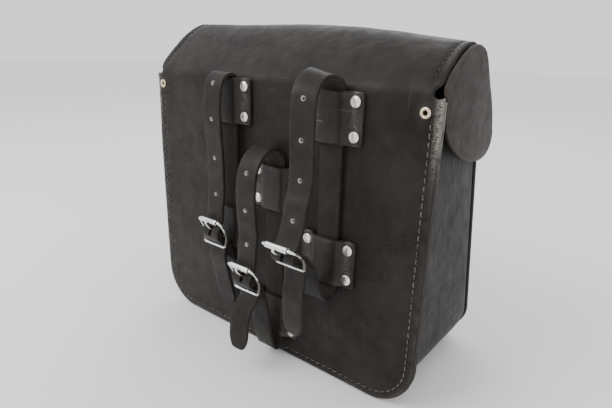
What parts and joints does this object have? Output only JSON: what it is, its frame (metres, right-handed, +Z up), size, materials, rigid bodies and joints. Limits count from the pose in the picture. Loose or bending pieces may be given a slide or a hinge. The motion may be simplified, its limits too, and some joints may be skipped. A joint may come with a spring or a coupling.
{
  "type": "motorcycle saddlebag",
  "caption": "Thick leather saddlebag with a one-piece back and fold-over lid, oval side ears, riveted strap keepers and buckled mounting straps on its back.",
  "frame": {"origin": "centre of the bounding box at the bag's lowest edge", "axes": "+Z up, -Y out of the mounting back that faces the motorcycle, +Y out of the flap side, X across the bag"},
  "size_m": [0.3, 0.2086, 0.2888],
  "materials": {
    "leather": "matte",
    "strap_leather": "satin",
    "ear_leather": "matte",
    "thread": "matte",
    "nickel": "polished",
    "brass": "polished"
  },
  "bodies": {
    "bag": {"back_panel": "leather", "gusset": "leather", "front_panel": "leather", "back_seam_thread": "thread", "front_seam_thread": "thread", "seam_rivet_left": "brass", "seam_rivet_right": "brass", "closure_left_stud": "nickel", "closure_right_stud": "nickel", "mount_left_keeper_upper": "leather", "mount_left_keeper_rivets_upper": "nickel", "mount_left_keeper_lower": "leather", "mount_left_keeper_rivets_lower": "nickel", "mount_centre_keeper_upper": "leather", "mount_centre_keeper_rivets_upper": "nickel", "mount_centre_keeper_lower": "leather", "mount_centre_keeper_rivets_lower": "nickel", "mount_right_keeper_upper": "leather", "mount_right_keeper_rivets_upper": "nickel", "mount_right_keeper_lower": "leather", "mount_right_keeper_rivets_lower": "nickel"},
    "lid": {"lid_flap": "leather", "lid_ear_left": "ear_leather", "ear_seam_thread_left": "thread", "closure_left_anchor": "strap_leather", "closure_left_rivets": "nickel", "lid_ear_right": "ear_leather", "ear_seam_thread_right": "thread", "closure_right_anchor": "strap_leather", "closure_right_rivets": "nickel"},
    "mounting_strap_left": {"mount_left_strap": "strap_leather", "mount_left_buckle_frame": "nickel", "mount_left_end_rivet": "nickel"},
    "mount_left_prong": {"mount_left_buckle_prong": "nickel"},
    "mount_left_roller": {"mount_left_buckle_roller": "nickel"},
    "mounting_strap_centre": {"mount_centre_strap": "strap_leather", "mount_centre_buckle_frame": "nickel", "mount_centre_end_rivet": "nickel"},
    "mount_centre_prong": {"mount_centre_buckle_prong": "nickel"},
    "mount_centre_roller": {"mount_centre_buckle_roller": "nickel"},
    "mounting_strap_right": {"mount_right_strap": "strap_leather", "mount_right_buckle_frame": "nickel", "mount_right_end_rivet": "nickel"},
    "mount_right_prong": {"mount_right_buckle_prong": "nickel"},
    "mount_right_roller": {"mount_right_buckle_roller": "nickel"},
    "closing_strap_left": {"closure_left_strap": "strap_leather", "closure_left_tab": "strap_leather", "closure_left_buckle_frame": "nickel", "closure_left_end_rivet": "nickel", "closure_left_stud_socket": "nickel"},
    "closure_left_prong": {"closure_left_buckle_prong": "nickel"},
    "closure_left_roller": {"closure_left_buckle_roller": "nickel"},
    "closing_strap_right": {"closure_right_strap": "strap_leather", "closure_right_tab": "strap_leather", "closure_right_buckle_frame": "nickel", "closure_right_end_rivet": "nickel", "closure_right_stud_socket": "nickel"},
    "closure_right_prong": {"closure_right_buckle_prong": "nickel"},
    "closure_right_roller": {"closure_right_buckle_roller": "nickel"}
  },
  "joints": [
    {"name": "lid_hinge", "type": "hinge", "parent": "bag", "child": "lid", "pos_m": [0, -0.0364, 0.2485], "axis": [1, 0, 0], "range_deg": [0, 60]},
    {"name": "mount_left_strap_slide", "type": "slide", "parent": "bag", "child": "mounting_strap_left", "axis": [0, 0, 1], "range_m": [0, 0.002]},
    {"name": "mount_left_prong_hinge", "type": "hinge", "parent": "mounting_strap_left", "child": "mount_left_prong", "pos_m": [-0.044, -0.0587, 0.1106], "axis": [1, 0, 0], "range_deg": [0, 10]},
    {"name": "mount_left_roller_spin", "type": "hinge", "parent": "mounting_strap_left", "child": "mount_left_roller", "pos_m": [-0.044, -0.06597, 0.12432], "axis": [1, 0, 0], "continuous": true},
    {"name": "mount_centre_strap_slide", "type": "slide", "parent": "bag", "child": "mounting_strap_centre", "axis": [0, 0, 1], "range_m": [-0.002, 0.002]},
    {"name": "mount_centre_prong_hinge", "type": "hinge", "parent": "mounting_strap_centre", "child": "mount_centre_prong", "pos_m": [0.011, -0.07408, 0.08857], "axis": [1, 0, 0], "range_deg": [0, 10]},
    {"name": "mount_centre_roller_spin", "type": "hinge", "parent": "mounting_strap_centre", "child": "mount_centre_roller", "pos_m": [0.011, -0.08229, 0.10175], "axis": [1, 0, 0], "continuous": true},
    {"name": "mount_right_strap_slide", "type": "slide", "parent": "bag", "child": "mounting_strap_right", "axis": [0, 0, 1], "range_m": [-0.002, 0.002]},
    {"name": "mount_right_prong_hinge", "type": "hinge", "parent": "mounting_strap_right", "child": "mount_right_prong", "pos_m": [0.067, -0.08785, 0.13206], "axis": [1, 0, 0], "range_deg": [0, 10]},
    {"name": "mount_right_roller_spin", "type": "hinge", "parent": "mounting_strap_right", "child": "mount_right_roller", "pos_m": [0.067, -0.10024, 0.14142], "axis": [1, 0, 0], "continuous": true},
    {"name": "closure_left_lift", "type": "hinge", "parent": "lid", "child": "closing_strap_left", "pos_m": [-0.075, 0.0814, 0.15], "axis": [1, 0, 0], "range_deg": [0, 70]},
    {"name": "closure_left_prong_hinge", "type": "hinge", "parent": "closing_strap_left", "child": "closure_left_prong", "pos_m": [-0.075, 0.09144, 0.09706], "axis": [-1, 0, 0], "range_deg": [0, 10]},
    {"name": "closure_left_roller_spin", "type": "hinge", "parent": "closing_strap_left", "child": "closure_left_roller", "pos_m": [-0.075, 0.09227, 0.11256], "axis": [1, 0, 0], "continuous": true},
    {"name": "closure_right_lift", "type": "hinge", "parent": "lid", "child": "closing_strap_right", "pos_m": [0.075, 0.0814, 0.15], "axis": [1, 0, 0], "range_deg": [0, 70]},
    {"name": "closure_right_prong_hinge", "type": "hinge", "parent": "closing_strap_right", "child": "closure_right_prong", "pos_m": [0.075, 0.09144, 0.09706], "axis": [-1, 0, 0], "range_deg": [0, 10]},
    {"name": "closure_right_roller_spin", "type": "hinge", "parent": "closing_strap_right", "child": "closure_right_roller", "pos_m": [0.075, 0.09227, 0.11256], "axis": [1, 0, 0], "continuous": true}
  ]
}
